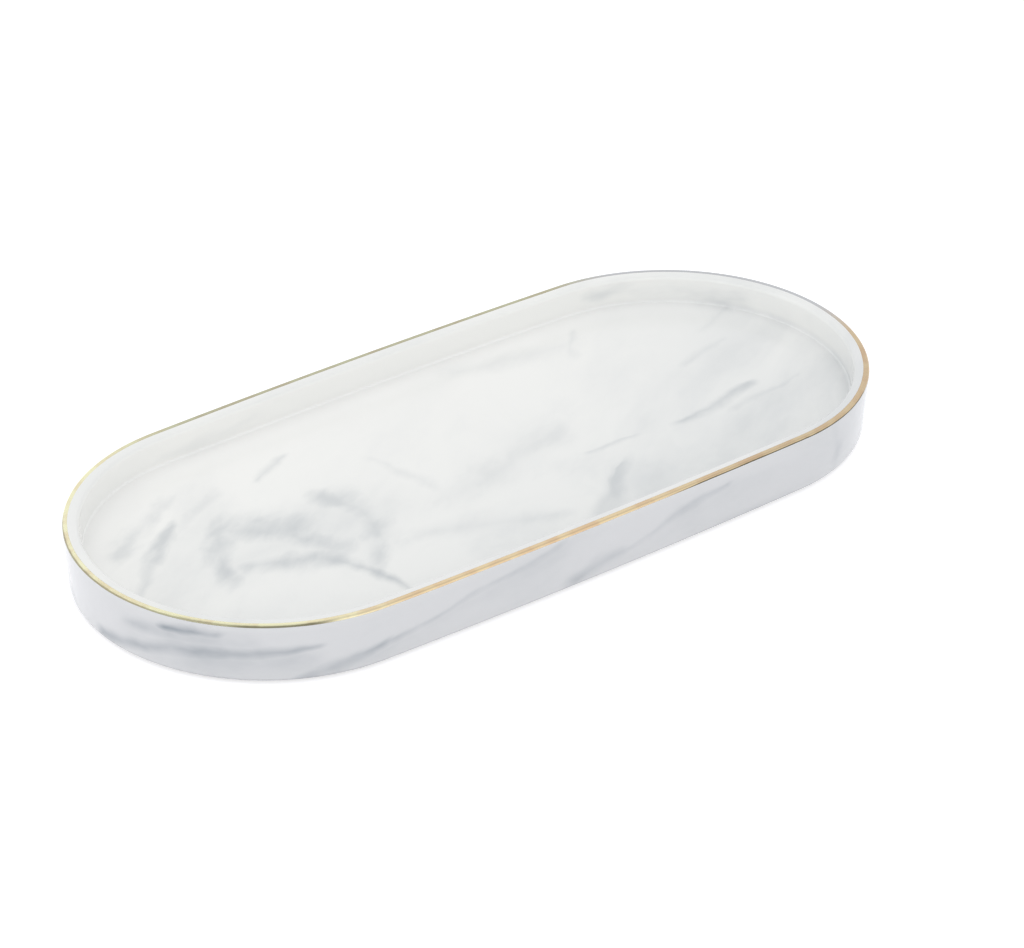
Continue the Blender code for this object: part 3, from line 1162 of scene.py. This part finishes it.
# The studio's light away from the camera and on its side, overhead, and as the camera sees it low down
SIDE_LEVELS = (1.02, 1.26)
TOP_LEVEL = 0.88
WORLD_WHITE = 1.0

# Where one turns into the next, by how far a direction faces the camera and how steeply it climbs
FACING_SPAN = (-0.6, 0.7)
OVERHEAD_SPAN = (0.60, 0.80)
LOW_SPAN = (0.30, 0.15)

KEY_LAMP_PLACE = (-0.9, 0.9, 1.3)
KEY_LAMP_SIZE = (1.2, 0.9)
KEY_LAMP_POWER = 2.0


def add_floor(look):
    """A pale floor that the camera sees as white, but for the tray's own soft shadow."""
    bm = bmesh.new()
    bmesh.ops.create_grid(bm, x_segments=1, y_segments=1, size=FLOOR_SIZE / 2)
    mesh = finish_mesh(bm, "floor")
    floor = add_object("floor", mesh)
    floor.location.z = -FLOOR_GAP
    material, shader = new_material("pale_floor")
    # Clear from below, so that the tray's underside can be seen through it
    below = add_node("ShaderNodeNewGeometry", {}, material.node_tree)["Backfacing"]
    plug(shader, {
        "Base Color": solid(look.floor),
        "Roughness": 0.9,
        "Specular IOR Level": 0.0,
        "Emission Color": PURE_WHITE,
        "Emission Strength": times(seen_by_eye(material.node_tree), look.floor_glow),
        "Alpha": maths("SUBTRACT", 1.0, below),
    })
    mesh.materials.append(material)


def add_world(look):
    """A bright studio, brightest on the camera's side and plain white low down."""
    world = bpy.data.worlds.new("pale_studio")
    bpy.context.scene.world = world
    world.use_nodes = True
    tree = world.node_tree
    direction = add_node("ShaderNodeTexCoord", {}, tree)["Generated"]
    towards_camera = (math.sin(look.azimuth), -math.cos(look.azimuth), 0.0)
    facing = vector_maths("DOT_PRODUCT", direction, towards_camera)["Value"]
    upward = split(direction)["Z"]
    side = remap(facing, *FACING_SPAN, *SIDE_LEVELS)
    level = remap(upward, *OVERHEAD_SPAN, side, TOP_LEVEL)
    low = times(seen_by_eye(tree), remap(upward, *LOW_SPAN))
    strength = add_node("ShaderNodeMix", {0: low, 2: level, 3: WORLD_WHITE}, data_type="FLOAT")[0]
    plug(tree.nodes["Background"], {"Color": PURE_WHITE, "Strength": strength})


def add_key_lamp():
    """A large soft lamp behind the tray, on the left."""
    data = bpy.data.lights.new("key_lamp", "AREA")
    data.shape = "RECTANGLE"
    data.size, data.size_y = KEY_LAMP_SIZE
    data.energy = KEY_LAMP_POWER
    lamp = add_object("key_lamp", data)
    lamp.location = KEY_LAMP_PLACE
    lamp.rotation_euler = (-Vector(KEY_LAMP_PLACE)).to_track_quat("-Z", "Y").to_euler()


def add_camera(look):
    """Looks at the tray from the photograph's side."""
    back = Vector((
        math.sin(look.azimuth) * math.cos(look.elevation),
        -math.cos(look.azimuth) * math.cos(look.elevation),
        math.sin(look.elevation),
    ))
    data = bpy.data.cameras.new("camera")
    data.lens = look.lens
    data.shift_x = look.shift
    camera = add_object("camera", data)
    camera.location = Vector(look.aim) + back * look.distance
    camera.rotation_euler = (-back).to_track_quat("-Z", "Y").to_euler()
    bpy.context.scene.camera = camera


class VANITYTRAY_OT_stage(Operator):
    """Set up the camera, the pale floor and the soft light"""

    bl_idname = "vanity_tray.stage"
    bl_label = "Stage"

    def execute(self, context):
        look = context.scene.vanity_tray_stage
        add_camera(look)
        add_floor(look)
        add_world(look)
        add_key_lamp()
        context.scene.view_settings.view_transform = "Standard"
        return {"FINISHED"}


class VANITYTRAY_PT_panel(Panel):
    """Lists the tray's pieces and their sizes and colours"""

    bl_idname = "VANITYTRAY_PT_panel"
    bl_label = "Vanity tray"
    bl_space_type = "VIEW_3D"
    bl_region_type = "UI"
    bl_category = "Vanity tray"

    def draw(self, context):
        layout = self.layout
        for operator in OPERATORS:
            layout.operator(operator.bl_idname)
        for name, group in PAIRS:
            box = layout.box()
            box.label(text=group.__doc__)
            for field in group.__annotations__:
                box.prop(getattr(context.scene, name), field)


OPERATORS = (
    VANITYTRAY_OT_stage,
    VANITYTRAY_OT_dish,
    VANITYTRAY_OT_gold_line,
    VANITYTRAY_OT_pads,
)


def register():
    for name, group in PAIRS:
        bpy.utils.register_class(group)
        setattr(bpy.types.Scene, name, PointerProperty(type=group))
    for operator in OPERATORS:
        bpy.utils.register_class(operator)
    bpy.utils.register_class(VANITYTRAY_PT_panel)


def unregister():
    bpy.utils.unregister_class(VANITYTRAY_PT_panel)
    for operator in reversed(OPERATORS):
        bpy.utils.unregister_class(operator)
    for name, group in reversed(PAIRS):
        delattr(bpy.types.Scene, name)
        bpy.utils.unregister_class(group)


def main():
    register()
    bpy.ops.vanity_tray.stage()
    bpy.ops.vanity_tray.dish()
    bpy.ops.vanity_tray.gold_line()
    bpy.ops.vanity_tray.pads()


if __name__ == "__main__":
    main()
